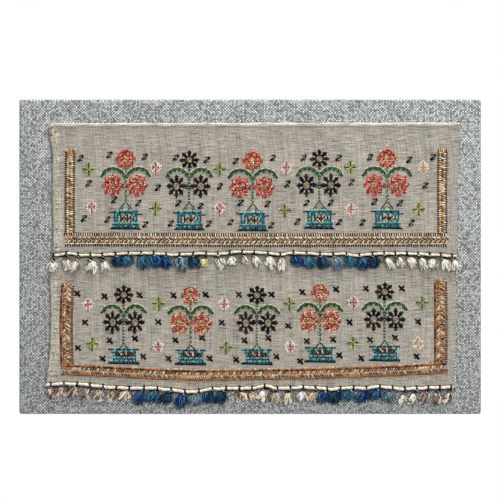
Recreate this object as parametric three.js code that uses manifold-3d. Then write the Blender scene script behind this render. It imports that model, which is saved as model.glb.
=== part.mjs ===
// Two embroidered towel strips with tasselled edge cords, sewn one above the other on a
// grey linen that is stretched over a shallow wooden stretcher frame.
//
// Millimetres. +X is right, +Z is up, and the front faces -Y. The origin is on the back,
// in the middle of the linen's top turn-in, which is the face that hangs against a wall.

import * as THREE from 'three';
import { mergeVertices } from 'three/addons/utils/BufferGeometryUtils.js';
import Module from 'manifold-3d';

const wasm = await Module();
wasm.setup();

// Driving dimensions

const panel = { width: 559, height: 381, depth: 20, originBelowTop: 15 };
const ground = { thickness: 1.2, edgeRadius: 3, turnIn: 29 };
const bar = { width: 38, lipWidth: 6, lipRise: 1, frontSlope: 2, chamfer: 2, mitreGap: 0.3 };
const gap = 0.3; // between pieces that touch

const strip = { thickness: 1, hemThickness: 2, columns: 50 };
const cord = { radius: 1.3, sides: 6, parting: 0.4 };
const stem = { radius: 1.1, sides: 4 };
const yarn = { // the head and the locks of each colour's tuft; a ring is a share of the length and a radius
  cream: { headWidth: 5.6, headDepth: 3.4, headHeight: 2.2, lockRadius: 1.15, rings: [[0, 0.8], [1, 1.15]] },
  blue: { headWidth: 8.4, headDepth: 4.4, headHeight: 2.6, lockRadius: 1.6,
    rings: [[0, 1], [0.55, 1.6], [1, 1]] },
};
const tuft = {
  locks: 4, lockSides: 3,
  headTaper: 0.45, // the head's top, as a share of its bottom
  headLean: 0.4, // how much of the tuft's lean its head has
  rootSpread: 0.85, tipSpread: 0.9, // of the head's and the tuft's width
  rootStagger: 0.28, // of the head's depth, between neighbouring locks
  forward: 1.8, // how much further forward every other tip lies
  sideShortening: 0.5, // how much shorter a lock is for each tuft width that it stands aside
  unevenness: 0.12, // how much one tuft is longer or shorter than the run says
  clearance: 0.15, // behind the tuft, on top of the gap
};

const frontFace = -panel.depth; // y of the ground linen's front
const top = panel.originBelowTop; // z of the panel's top edge
const middle = top - panel.height / 2; // z of the panel's middle

// The strips. Each row of an edge table is one place along the hanging edge: x, the height z
// of the edge cord there, and how far the cloth bellies out. A side's rows give its x by z.
// A band's rows run from its top to its hanging edge: the share of the way down, how far the
// back of the cloth stands off the ground linen, and its thickness.

const upper = {
  topLeft: -13.8,
  topRight: -13.2,
  left: [{ z: -13, x: -242.8 }, { z: -58, x: -239.9 }, { z: -176, x: -237.7 }],
  right: [{ z: -13, x: 254 }, { z: -90, x: 250.8 }, { z: -176, x: 249.1 }],
  hangingEdge: [
    { x: -237.7, z: -174.3, out: 0.2 },
    { x: -220.7, z: -171.5, out: 0.5 },
    { x: -204, z: -173.3, out: 0 },
    { x: -179.5, z: -173.4, out: 0.3 },
    { x: -151.6, z: -171.6, out: 0.6 },
    { x: -117.7, z: -171.4, out: 0.1 },
    { x: -91, z: -173.1, out: 0.4 },
    { x: -60.7, z: -171.6, out: 0.7 },
    { x: -38, z: -172.2, out: 0.2 },
    { x: -15.9, z: -169.6, out: 0.9 },
    { x: 18, z: -170.9, out: 0.2 },
    { x: 36.2, z: -172.8, out: 0 },
    { x: 52, z: -170.9, out: 0.5 },
    { x: 96.8, z: -172.8, out: 0.1 },
    { x: 109, z: -171.7, out: 0.5 },
    { x: 129.6, z: -174, out: 0.2 },
    { x: 150, z: -172, out: 0.6 },
    { x: 191.4, z: -171.7, out: 0.2 },
    { x: 225, z: -173.4, out: 0.5 },
    { x: 249.1, z: -174.8, out: 0.2 },
  ],
  rows: [
    { share: 0, stand: gap, thickness: strip.hemThickness },
    { share: 0.017, stand: gap, thickness: strip.hemThickness },
    { share: 0.026, stand: gap, thickness: strip.thickness },
    { share: 0.4, stand: gap, thickness: strip.thickness },
    { share: 0.7, stand: gap, thickness: strip.thickness },
    { share: 0.865, stand: gap, thickness: strip.thickness },
    { share: 0.935, stand: 2 * gap + strip.thickness, thickness: strip.thickness },
    { share: 1, stand: 2 * gap + strip.thickness, thickness: strip.thickness },
  ],
};

const lower = {
  topLeft: -164,
  topRight: -164,
  left: [{ z: -164, x: -236 }, { z: -176, x: -238.5 }, { z: -196, x: -242.8 },
    { z: -229, x: -240.8 }, { z: -284, x: -241.8 }, { z: -334, x: -246.2 }],
  right: [{ z: -164, x: 248 }, { z: -210, x: 249.1 }, { z: -277, x: 249.1 }, { z: -334, x: 245.1 }],
  hangingEdge: [
    { x: -246.2, z: -330.8, out: 0.8 },
    { x: -232.8, z: -329.2, out: 0.3 },
    { x: -200.1, z: -329.9, out: 0.1 },
    { x: -175.9, z: -332.8, out: 0.6 },
    { x: -139.5, z: -334.6, out: 0.2 },
    { x: -121.3, z: -334, out: 0.5 },
    { x: -95, z: -336.6, out: 0.2 },
    { x: -69.2, z: -338.9, out: 0.7 },
    { x: -50, z: -335.8, out: 0.2 },
    { x: -25, z: -334.6, out: 0.4 },
    { x: 2, z: -334.4, out: 0.2 },
    { x: 19.3, z: -331.6, out: 0.9 },
    { x: 33, z: -334.6, out: 0.2 },
    { x: 67.8, z: -333.4, out: 0.6 },
    { x: 100.5, z: -335.6, out: 0.1 },
    { x: 117.4, z: -333.8, out: 0.4 },
    { x: 136.8, z: -334.6, out: 0.1 },
    { x: 157.4, z: -332.5, out: 0.6 },
    { x: 181.7, z: -335.2, out: 0.2 },
    { x: 215.6, z: -334, out: 0.4 },
    { x: 245.1, z: -333.2, out: 0.7 },
  ],
  rows: [
    { share: 0, stand: gap, thickness: strip.thickness },
    { share: 0.3, stand: gap, thickness: strip.thickness },
    { share: 0.6, stand: gap, thickness: strip.thickness },
    { share: 0.85, stand: gap, thickness: strip.thickness },
    { share: 1, stand: gap, thickness: strip.thickness },
  ],
};

// The tassels, in runs of one yarn: the first tassel's x, the pitch, the length of the
// wrapped stem, the tuft's length and width, and how far each tuft leans to the right.

upper.tassels = [
  { yarn: 'cream', first: -237, pitch: 14.7, stem: 8.5, length: 12, width: 10, leans: [-2, 2, -2, 2, 3] },
  { yarn: 'blue', first: -162, pitch: 15.2, stem: 3, length: 13, width: 10, leans: [2, -2] },
  { yarn: 'blue', first: -131.9, pitch: 15.2, stem: 3, length: 14, width: 11, leans: [4, 3, 0] },
  { yarn: 'blue', first: -85.6, pitch: 16.8, stem: 4, length: 13, width: 12, leans: [4, 2] },
  { yarn: 'cream', first: -52.8, pitch: 14, stem: 7, length: 9, width: 7, leans: [-4] },
  { yarn: 'cream', first: -39, pitch: 14.6, stem: 6, length: 10, width: 9, leans: [4, 3, 5, 4] },
  { yarn: 'cream', first: 21.3, pitch: 15.2, stem: 5, length: 14, width: 11, leans: [5, 3] },
  { yarn: 'blue', first: 52.7, pitch: 15.9, stem: 4, length: 12, width: 11, leans: [6, 4, 4, 6, 6, 5, 2] },
  { yarn: 'cream', first: 161.9, pitch: 13.7, stem: 6, length: 12, width: 9, leans: [7, 7, 8, 6, 4, 8, 6] },
];

lower.tassels = [
  { yarn: 'cream', first: -240.6, pitch: 15.8, stem: 4, length: 13, width: 11,
    leans: [0, -4, -7, -8, -7, -7, -8] },
  { yarn: 'blue', first: -127.9, pitch: 16.5, stem: 4, length: 13, width: 12,
    leans: [-7, -8, -8, -6, -5, -7, -8] },
  { yarn: 'cream', first: -13, pitch: 15.4, stem: 6, length: 12, width: 11,
    leans: [4, 1, -3, -6, -4, -2, -5] },
  { yarn: 'blue', first: 93.3, pitch: 15.8, stem: 4, length: 12, width: 12,
    leans: [-7, -8, -8, -6, -7, -5] },
  { yarn: 'cream', first: 187.3, pitch: 13.9, stem: 7, length: 12, width: 10,
    leans: [-2, -4, -5, -3, -4] },
];

// Materials

const colours = { wood: '#c9a878', groundLinen: '#9a9d9b', towelLinen: '#a9a596', tassel: '#c0b9a9' };

function clothOf(colour, roughness = 0.95) {
  return new THREE.MeshStandardMaterial({ color: colour, roughness, metalness: 0 });
}

// Solids and how they are joined

function solidOf(geometry) {
  const bare = geometry.clone();
  bare.deleteAttribute('normal');
  bare.deleteAttribute('uv');
  const merged = mergeVertices(bare, 1e-4);
  const corners = merged.index.array;
  const triangles = [];
  for (let i = 0; i < corners.length; i += 3) {
    const [a, b, c] = [corners[i], corners[i + 1], corners[i + 2]];
    if (a !== b && b !== c && c !== a) triangles.push(a, b, c);
  }
  const vertices = new Float32Array(merged.attributes.position.array);
  return new wasm.Manifold(new wasm.Mesh({
    numProp: 3, vertProperties: vertices, triVerts: new Uint32Array(triangles),
  }));
}

function geometryOf(solid) {
  const mesh = solid.getMesh();
  const geometry = new THREE.BufferGeometry();
  geometry.setAttribute('position', new THREE.BufferAttribute(new Float32Array(mesh.vertProperties), 3));
  geometry.setIndex(new THREE.BufferAttribute(new Uint32Array(mesh.triVerts), 1));
  geometry.computeVertexNormals();
  return geometry;
}

function joined(solids) {
  return solids.reduce((whole, part) => whole.add(part));
}

function boxBetween(low, high) {
  const size = high.clone().sub(low);
  const centre = low.clone().add(high).multiplyScalar(0.5);
  return new THREE.BoxGeometry(size.x, size.y, size.z).translate(centre.x, centre.y, centre.z);
}

function valueAt(rows, key, column, at) {
  const last = rows.length - 1;
  const rising = rows[last][key] > rows[0][key];
  let i = 0;
  while (i < last - 1 && (rising ? at > rows[i + 1][key] : at < rows[i + 1][key])) i += 1;
  const t = (at - rows[i][key]) / (rows[i + 1][key] - rows[i][key]);
  return THREE.MathUtils.lerp(rows[i][column], rows[i + 1][column], THREE.MathUtils.clamp(t, 0, 1));
}

// Stretcher bars: a profile along the bar, u inward from its outer edge and y from front to
// back, whose two ends are cut at 45 degrees

function stretcherBar(length) {
  const outer = ground.thickness + gap;
  const back = -outer;
  const lip = frontFace + outer;
  const lipFoot = bar.lipWidth + bar.lipRise;
  const profile = [
    [0, lip + bar.chamfer], [bar.chamfer, lip], [bar.lipWidth, lip], [lipFoot, lip + bar.lipRise],
    [bar.width, lip + bar.lipRise + bar.frontSlope], [bar.width, back], [bar.chamfer, back],
    [0, back - bar.chamfer],
  ];
  const shape = new THREE.Shape(profile.map(([u, y]) => new THREE.Vector2(u, y)));
  const geometry = new THREE.ExtrudeGeometry(shape, { depth: 1, bevelEnabled: false });
  const points = geometry.attributes.position;
  const mitreInset = outer + bar.mitreGap / Math.SQRT2;
  for (let i = 0; i < points.count; i += 1) {
    const u = points.getX(i);
    const end = points.getZ(i) > 0.5 ? 1 : -1;
    points.setXYZ(i, end * (length / 2 - mitreInset - u), points.getY(i), -outer - u);
  }
  return geometry;
}

// The ground linen: a tray over the front and sides, turned in on the back

function roundedSlab(inset) {
  const radius = ground.edgeRadius - inset;
  const halfWidth = panel.width / 2 - inset - radius;
  const halfHeight = panel.height / 2 - inset - radius;
  const shape = new THREE.Shape([
    new THREE.Vector2(-halfWidth, -halfHeight), new THREE.Vector2(halfWidth, -halfHeight),
    new THREE.Vector2(halfWidth, halfHeight), new THREE.Vector2(-halfWidth, halfHeight),
  ]);
  return new THREE.ExtrudeGeometry(shape, {
    depth: panel.depth - 2 * (inset + radius),
    bevelThickness: radius, bevelSize: radius, bevelSegments: 3, curveSegments: 1,
  }).translate(0, 0, inset + radius).rotateX(Math.PI / 2).translate(0, 0, middle);
}

function groundCover() {
  const halfWidth = panel.width / 2 - ground.turnIn;
  const halfHeight = panel.height / 2 - ground.turnIn;
  const window = boxBetween(
    new THREE.Vector3(-halfWidth, -panel.depth / 2, middle - halfHeight),
    new THREE.Vector3(halfWidth, panel.depth, middle + halfHeight),
  );
  const hollow = solidOf(roundedSlab(ground.thickness));
  return geometryOf(solidOf(roundedSlab(0)).subtract(hollow).subtract(solidOf(window)));
}

// The strips: a grid of cloth whose columns end on the hanging edge

function edgeLine(band) {
  const rise = cord.radius + cord.parting;
  const places = band.hangingEdge.map((row) => new THREE.Vector3(row.x, -row.out, row.z + rise));
  return new THREE.CatmullRomCurve3(places, false, 'centripetal');
}

function stripSolid(band) {
  const edge = edgeLine(band).getSpacedPoints(strip.columns);
  const first = edge[0].x;
  const span = edge[strip.columns].x - first;
  const clothPoint = (column, row, offset) => {
    const end = edge[column];
    const across = (end.x - first) / span;
    const topZ = THREE.MathUtils.lerp(band.topLeft, band.topRight, across);
    const z = THREE.MathUtils.lerp(topZ, end.z, row.share);
    const left = valueAt(band.left, 'z', 'x', z);
    const right = valueAt(band.right, 'z', 'x', z);
    const x = row.share === 1 ? end.x : THREE.MathUtils.lerp(left, right, across);
    return [x, frontFace - row.stand - offset + end.y * row.share ** 3, z];
  };
  const rowCount = band.rows.length;
  const positions = [];
  const layer = (thick) => band.rows.forEach((row) => {
    const offset = thick ? row.thickness : 0;
    for (let c = 0; c <= strip.columns; c += 1) positions.push(...clothPoint(c, row, offset));
  });
  layer(true);
  layer(false);
  const wide = strip.columns + 1;
  const at = (side, r, c) => side * rowCount * wide + r * wide + c;
  const index = [];
  const quad = (a, b, c, d) => index.push(a, b, c, a, c, d);
  for (let r = 0; r < rowCount - 1; r += 1) {
    for (let c = 0; c < strip.columns; c += 1) {
      quad(at(0, r + 1, c), at(0, r + 1, c + 1), at(0, r, c + 1), at(0, r, c));
      quad(at(1, r, c), at(1, r, c + 1), at(1, r + 1, c + 1), at(1, r + 1, c));
    }
    quad(at(0, r, 0), at(1, r, 0), at(1, r + 1, 0), at(0, r + 1, 0));
    quad(at(0, r + 1, strip.columns), at(1, r + 1, strip.columns), at(1, r, strip.columns),
      at(0, r, strip.columns));
  }
  for (let c = 0; c < strip.columns; c += 1) {
    quad(at(0, 0, c), at(0, 0, c + 1), at(1, 0, c + 1), at(1, 0, c));
    quad(at(0, rowCount - 1, c + 1), at(0, rowCount - 1, c), at(1, rowCount - 1, c),
      at(1, rowCount - 1, c + 1));
  }
  const geometry = new THREE.BufferGeometry();
  geometry.setAttribute('position', new THREE.Float32BufferAttribute(positions, 3));
  geometry.setIndex(index);
  geometry.computeVertexNormals();
  return geometry;
}

// The fringes: an edge cord with a stem, a head and a fan of locks for each tassel

function cordTube(centreLine) {
  const section = new THREE.Shape(Array.from({ length: cord.sides }, (_, i) => {
    const angle = (i * 2 * Math.PI) / cord.sides;
    return new THREE.Vector2(cord.radius * Math.cos(angle), cord.radius * Math.sin(angle));
  }));
  return new THREE.ExtrudeGeometry(section, {
    steps: strip.columns, bevelEnabled: false, extrudePath: centreLine,
  });
}

function lock(from, to, rings, sides) {
  const length = from.distanceTo(to);
  const profile = [
    new THREE.Vector2(0, 0), ...rings.map(([share, radius]) => new THREE.Vector2(radius, length * share)),
    new THREE.Vector2(0, length),
  ];
  const turn = new THREE.Quaternion().setFromUnitVectors(
    new THREE.Vector3(0, 1, 0), to.clone().sub(from).normalize(),
  );
  return new THREE.LatheGeometry(profile, sides).applyQuaternion(turn).translate(from.x, from.y, from.z);
}

function tasselHead(centre, kind) { // a block that narrows up to its stem
  const block = new THREE.BoxGeometry(kind.headWidth, kind.headDepth, kind.headHeight);
  const points = block.attributes.position;
  for (let i = 0; i < points.count; i += 1) {
    if (points.getZ(i) > 0) {
      points.setX(i, points.getX(i) * tuft.headTaper);
      points.setY(i, points.getY(i) * tuft.headTaper);
    }
  }
  return block.translate(centre.x, centre.y, centre.z);
}

function tassel(root, backPlane, run, lean, number) {
  const kind = yarn[run.yarn];
  const stretch = 1 + tuft.unevenness * Math.sin(number * number);
  const front = backPlane - tuft.clearance;
  const head = new THREE.Vector3(
    root.x + lean * tuft.headLean, front - kind.headDepth / 2, root.z - cord.radius - run.stem,
  );
  const stemEnd = head.clone().setZ(head.z + kind.headHeight / 4);
  const stemRings = [[0, stem.radius], [1, stem.radius]];
  const solids = [
    solidOf(lock(root, stemEnd, stemRings, stem.sides)), solidOf(tasselHead(head, kind)),
  ];
  for (let i = 0; i < tuft.locks; i += 1) {
    const fan = (i + 0.5) / tuft.locks - 0.5;
    const forward = i % 2 ? 0 : 1;
    const length = run.length * stretch * (1 - tuft.sideShortening * Math.abs(fan));
    const from = new THREE.Vector3(
      head.x + fan * kind.headWidth * tuft.rootSpread,
      head.y + kind.headDepth * tuft.rootStagger * (0.5 - forward), head.z - kind.headHeight / 4,
    );
    const tip = new THREE.Vector3(
      root.x + lean + fan * run.width * tuft.tipSpread,
      front - kind.lockRadius - forward * tuft.forward, head.z - length,
    );
    solids.push(solidOf(lock(from, tip, kind.rings, tuft.lockSides)));
  }
  return solids;
}

function fringe(band, backStand) {
  const backPlane = frontFace - backStand;
  const fall = cord.radius + cord.parting;
  const centreY = backPlane - cord.radius - tuft.clearance;
  const centres = edgeLine(band).points.map((p) => new THREE.Vector3(p.x, centreY + p.y, p.z - fall));
  const centreLine = new THREE.CatmullRomCurve3(centres, false, 'centripetal');
  const samples = centreLine.getSpacedPoints(4 * strip.columns);
  const solids = [solidOf(cordTube(centreLine))];
  let number = 0;
  band.tassels.forEach((run) => run.leans.forEach((lean, i) => {
    const x = run.first + i * run.pitch;
    const root = samples.reduce((best, p) => (Math.abs(p.x - x) < Math.abs(best.x - x) ? p : best));
    number += 1;
    solids.push(...tassel(root, backPlane, run, lean, number));
  }));
  return geometryOf(joined(solids));
}

// The object

const object = new THREE.Group();

function place(name, geometry, material, position = [0, 0, 0], turn = 0) {
  const mesh = new THREE.Mesh(geometry, material);
  mesh.name = name;
  mesh.position.set(...position);
  mesh.rotation.y = turn;
  object.add(mesh);
}

const wood = new THREE.MeshStandardMaterial({ color: colours.wood, roughness: 0.7, metalness: 0 });
const quarterTurn = Math.PI / 2;
place('stretcher_top', stretcherBar(panel.width), wood, [0, 0, top]);
place('stretcher_right', stretcherBar(panel.height), wood, [panel.width / 2, 0, middle], quarterTurn);
place('stretcher_bottom', stretcherBar(panel.width), wood, [0, 0, top - panel.height], 2 * quarterTurn);
place('stretcher_left', stretcherBar(panel.height), wood, [-panel.width / 2, 0, middle], -quarterTurn);

place('ground_cover', groundCover(), clothOf(colours.groundLinen));
place('upper_band', stripSolid(upper), clothOf(colours.towelLinen));
place('lower_band', stripSolid(lower), clothOf(colours.towelLinen));
place('upper_fringe', fringe(upper, 2 * gap + strip.thickness), clothOf(colours.tassel));
place('lower_fringe', fringe(lower, gap), clothOf(colours.tassel));

export default object;
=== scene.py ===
# Two embroidered towel ends on a linen-covered stretcher frame. Lengths are in millimetres
# in the tables and become metres where a mesh is made.

import math
import random

import bpy
import numpy as np
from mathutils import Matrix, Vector


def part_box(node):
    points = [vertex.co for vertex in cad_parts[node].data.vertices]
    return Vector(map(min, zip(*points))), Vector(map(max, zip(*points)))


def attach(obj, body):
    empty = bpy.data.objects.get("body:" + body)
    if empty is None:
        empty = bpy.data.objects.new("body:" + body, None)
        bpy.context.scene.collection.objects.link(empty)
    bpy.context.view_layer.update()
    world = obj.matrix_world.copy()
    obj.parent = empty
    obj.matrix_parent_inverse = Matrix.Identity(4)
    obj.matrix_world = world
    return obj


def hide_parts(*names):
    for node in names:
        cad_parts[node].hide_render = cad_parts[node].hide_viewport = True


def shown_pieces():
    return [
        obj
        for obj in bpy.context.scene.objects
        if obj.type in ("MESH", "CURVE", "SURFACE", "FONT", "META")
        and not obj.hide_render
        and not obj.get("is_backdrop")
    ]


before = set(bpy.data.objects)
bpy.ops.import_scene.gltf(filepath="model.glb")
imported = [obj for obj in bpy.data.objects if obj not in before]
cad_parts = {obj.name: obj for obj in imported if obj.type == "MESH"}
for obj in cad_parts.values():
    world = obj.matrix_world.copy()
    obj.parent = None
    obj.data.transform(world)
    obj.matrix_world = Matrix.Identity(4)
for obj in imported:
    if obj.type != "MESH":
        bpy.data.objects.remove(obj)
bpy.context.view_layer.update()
mm = .001
panelLow, panelHigh = (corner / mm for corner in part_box("ground_cover"))
frontFace = panelLow.y
chance = random.Random(7)


def stray(most):
    return chance.uniform(-most, most)


print("frame loaded")


# Places on the strips were read off the photograph, in its pixels, and are turned into
# millimetres here: x to the right and z up, on the front of the panel.

picture = {"mmPerPixel": 1.212, "panelMiddleX": 250.1, "panelMiddleY": 256.2}
pixel = picture["mmPerPixel"]
panelMiddleZ = (panelLow.z + panelHigh.z) / 2


def atPixel(x, y):
    return (x - picture["panelMiddleX"]) * pixel, panelMiddleZ + (picture["panelMiddleY"] - y) * pixel


def placed(name, data):
    made = bpy.data.objects.new(name, data)
    bpy.context.scene.collection.objects.link(made)
    return made


# Camera, lights and stage. The picture's width and aim are in millimetres, the rest in metres.

studio = {
    "lens": 135, "sensor": 36, "pictureWidth": 604.9, "aimX": -.1, "aimZ": -167.3, "clipEnd": 60,
    "skyLight": .2, "floorBelow": 1.2, "floorSize": 5, "floorColour": (.66, .66, .65, 1),
    "floorRoughness": .9,
    # each softbox's power, size and place
    "softboxes": {
        "key": (50, .7, (1.75, -2.1, 1.35)), "top": (235, 1.3, (.3, -1.05, 4)),
        "fill": (5, 1.6, (-2.2, -1.8, .2)), "back": (50, 1.6, (1.6, 2.4, 1.6)),
    },
}


def placeCamera():
    camera = placed("camera", bpy.data.cameras.new("camera"))
    camera.data.lens = studio["lens"]
    camera.data.sensor_width = studio["sensor"]
    camera.data.clip_end = studio["clipEnd"]
    away = studio["pictureWidth"] * studio["lens"] / studio["sensor"]
    camera.location = Vector((studio["aimX"], frontFace - away, studio["aimZ"])) * mm
    camera.rotation_euler = (math.pi / 2, 0, 0)
    bpy.context.scene.camera = camera


def softbox(name, power, size, place):
    light = bpy.data.lights.new(name, "AREA")
    light.energy = power
    light.size = size
    lamp = placed(name, light)
    lamp.location = place
    towards = Vector((0, 0, panelMiddleZ * mm)) - lamp.location
    lamp.rotation_euler = towards.to_track_quat("-Z", "Y").to_euler()


def makeWorld():
    # white to the camera and dimmer as a light
    world = bpy.data.worlds.new("paper")
    bpy.context.scene.world = world
    world.use_nodes = True
    tree = world.node_tree
    tree.nodes.clear()
    path = tree.nodes.new("ShaderNodeLightPath")
    seen = tree.nodes.new("ShaderNodeMapRange")
    seen.inputs["To Min"].default_value = studio["skyLight"]
    tree.links.new(path.outputs["Is Camera Ray"], seen.inputs["Value"])
    background = tree.nodes.new("ShaderNodeBackground")
    background.inputs["Color"].default_value = (1, 1, 1, 1)
    tree.links.new(seen.outputs["Result"], background.inputs["Strength"])
    output = tree.nodes.new("ShaderNodeOutputWorld")
    tree.links.new(background.outputs[0], output.inputs["Surface"])
    bpy.context.scene.view_settings.view_transform = "Standard"


def layFloor():
    bpy.ops.mesh.primitive_plane_add(size=studio["floorSize"], location=(0, 0, -studio["floorBelow"]))
    floor = bpy.context.object
    floor.name = "floor"
    paper = bpy.data.materials.new("pale_floor")
    paper.use_nodes = True
    shader = paper.node_tree.nodes["Principled BSDF"]
    shader.inputs["Base Color"].default_value = studio["floorColour"]
    shader.inputs["Roughness"].default_value = studio["floorRoughness"]
    floor.data.materials.append(paper)
    floor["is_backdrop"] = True


placeCamera()
for softboxName, softboxLook in studio["softboxes"].items():
    softbox(softboxName, *softboxLook)
makeWorld()
layFloor()
print("studio ready")


# Shader maths: a wrapped socket that adds Math nodes, and a finish that adds any other node

def feed(tree, socket, value):
    if isinstance(value, Socket):
        tree.links.new(value.output, socket)
    else:
        socket.default_value = value


def operator(operation, swapped=False):
    def run(self, other):
        return self.maths(operation, *((other, self) if swapped else (self, other)))
    return run


class Socket:
    def __init__(self, tree, output):
        self.tree = tree
        self.output = output

    def maths(self, operation, *values):
        node = self.tree.nodes.new("ShaderNodeMath")
        node.operation = operation
        for place, value in enumerate(values):
            feed(self.tree, node.inputs[place], value)
        return Socket(self.tree, node.outputs[0])

    __add__, __radd__ = operator("ADD"), operator("ADD", True)
    __sub__, __rsub__ = operator("SUBTRACT"), operator("SUBTRACT", True)
    __mul__, __rmul__ = operator("MULTIPLY"), operator("MULTIPLY", True)
    __truediv__ = operator("DIVIDE")

    def __abs__(self):
        return self.maths("ABSOLUTE", self)

    def floor(self):
        return self.maths("FLOOR", self)

    def sine(self):
        return self.maths("SINE", self)

    def remainder(self, other):
        return self.maths("FLOORED_MODULO", self, other)

    def held(self, low, high):
        return self.maths("MINIMUM", self.maths("MAXIMUM", self, low), high)


class Finish:
    def __init__(self, name, roughness):
        self.material = bpy.data.materials.new(name)
        self.material.use_nodes = True
        self.tree = self.material.node_tree
        self.shader = self.tree.nodes["Principled BSDF"]
        self.set("Roughness", roughness)
        self.set("Specular IOR Level", .25)

    def set(self, name, value):
        feed(self.tree, self.shader.inputs[name], value)

    def node(self, kind, settings=None, inputs=None, output=0):
        made = self.tree.nodes.new("ShaderNode" + kind)
        for key, value in (settings or {}).items():
            setattr(made, key, value)
        for key, value in (inputs or {}).items():
            feed(self.tree, made.inputs[key], value)
        return Socket(self.tree, made.outputs[output])

    def axes(self, vector):
        split = self.tree.nodes.new("ShaderNodeSeparateXYZ")
        feed(self.tree, split.inputs[0], vector)
        return [Socket(self.tree, end) for end in split.outputs]

    def stretched(self, vector, scales):
        return self.node("VectorMath", {"operation": "MULTIPLY"}, {0: vector, 1: scales})

    def noise(self, vector, scale, detail=2):
        return self.node("TexNoise", None, {"Vector": vector, "Scale": scale, "Detail": detail})

    def whiteNoise(self, a, b):
        joined = self.node("CombineXYZ", None, {0: a, 1: b})
        return self.node("TexWhiteNoise", {"noise_dimensions": "2D"}, {"Vector": joined})

    def mixed(self, share, a, b):
        return self.node("Mix", {"data_type": "RGBA"}, {0: share, 6: a, 7: b}, 2)

    def scaled(self, colour, value):
        return self.node("VectorMath", {"operation": "SCALE"}, {0: colour, "Scale": value})

    def ranged(self, value, low, high, toLow=0, toHigh=1):
        ends = {"Value": value, 1: low, 2: high, 3: toLow, 4: toHigh}
        return self.node("MapRange", {"interpolation_type": "SMOOTHSTEP"}, ends)

    def bump(self, height, distance, strength=1):
        ends = {"Height": height, "Distance": distance, "Strength": strength}
        self.set("Normal", self.node("Bump", None, ends))


def linear(colour):
    return tuple((c / 255 / 12.92) if c <= 10 else ((c / 255 + .055) / 1.055) ** 2.4 for c in colour)


def paint(colour):
    return (*linear(colour), 1)


# Cloth finishes: a plain weave whose warp and weft threads differ in shade, with slubs. Each
# of speckle, slub, grain and mottle is how strong that unevenness of the shade is; the slubs'
# lengths, the grain and the mottle are in repeats to a metre.

weaves = {
    "roughness": .92, "sheen": .15, "darkest": .15, "palest": 1.9, "mottleSize": 34, "warpSlubLong": 14,
    "ground": {
        "warp": (193, 197, 196), "weft": (140, 144, 143), "gap": (68, 72, 72), "pitch": 1.82,
        "speckle": 1.25, "slub": 1, "grain": 3.5, "grainSize": 1500, "bump": .3, "mottle": .35,
        "slubWidth": 1, "warpShare": .4, "slubLong": 40,
    },
    "towel": {
        "warp": (186, 179, 166), "weft": (176, 168, 155), "gap": (124, 117, 106), "pitch": .62,
        "speckle": .45, "slub": 3, "grain": 1, "grainSize": 620, "bump": .22, "mottle": .55,
        "slubWidth": .95, "warpShare": .36, "slubLong": 60,
    },
}


def clothFinish(name, kind):
    look = weaves[kind]
    finish = Finish(name, weaves["roughness"])
    flat = finish.node("UVMap", {"uv_map": "cloth"})
    u, v = finish.axes(flat)[:2]
    pitch = look["pitch"] * mm
    column = (u / pitch).floor()
    row = (v / pitch).floor()
    warpOver = (column + row).remainder(2)
    warpRound = abs((u * (math.pi / pitch)).sine())
    weftRound = abs((v * (math.pi / pitch)).sine())
    # a knuckle of the thread on top, rounded across its own width and where it dives under
    across = warpRound * warpOver + weftRound * (1 - warpOver)
    along = weftRound * warpOver + warpRound * (1 - warpOver)
    height = across * (.55 + .45 * along)
    knuckle = finish.whiteNoise(column, row)
    perMetre = 1000 / look["slubWidth"]
    warpSlub = finish.noise(finish.stretched(flat, (perMetre, weaves["warpSlubLong"], 1)), 1, 1)
    weftSlub = finish.noise(finish.stretched(flat, (look["slubLong"], perMetre, 1)), 1, 1)
    slub = warpSlub * look["warpShare"] + weftSlub * (1 - look["warpShare"])
    grain = finish.noise(flat, look["grainSize"], 1)
    mottle = finish.noise(flat, weaves["mottleSize"], 4)
    shade = 1 + (knuckle - .5) * look["speckle"] + (slub - .5) * look["slub"]
    shade = shade + (grain - .5) * look["grain"] + (mottle - .5) * look["mottle"]
    colour = finish.mixed(warpOver, paint(look["weft"]), paint(look["warp"]))
    colour = finish.mixed(finish.ranged(height, .05, .5), paint(look["gap"]), colour)
    if kind == "towel":
        colour, shade = addWearAndHemHighlight(finish, flat, u, v, colour, shade)
    shade = shade.held(weaves["darkest"], weaves["palest"])
    finish.set("Base Color", finish.scaled(colour, shade))
    finish.set("Sheen Weight", weaves["sheen"])
    finish.bump(height + slub * .6, look["bump"] * mm)
    return finish.material


# A strip's paler selvedge down the left, a painted highlight along the rolled hem at the top, faint
# washed-out stains and cooler patches: from and to what place in metres, or what height of the noise,
# each fades, its share of the colour, the colour, and the sizes of the noises in repeats to a metre.

wearAndHemHighlight = {
    "selvedge": (.0075, .0125), "selvedgeShare": .3, "selvedgeColour": (212, 204, 182),
    "wander": .016, "wanderSize": 110, "mottle": 2.2, "mottleSize": 330,
    "hemHighlight": (.0032, .0042), "hemHighlightShare": .75, "hemHighlightColour": (226, 222, 208),
    "stain": (.48, .72), "stainShare": .22, "stainColour": (176, 160, 128), "stainSize": 11,
    "cool": (.4, .64), "coolShare": .22, "coolColour": (164, 166, 162), "coolSize": 27,
}


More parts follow.
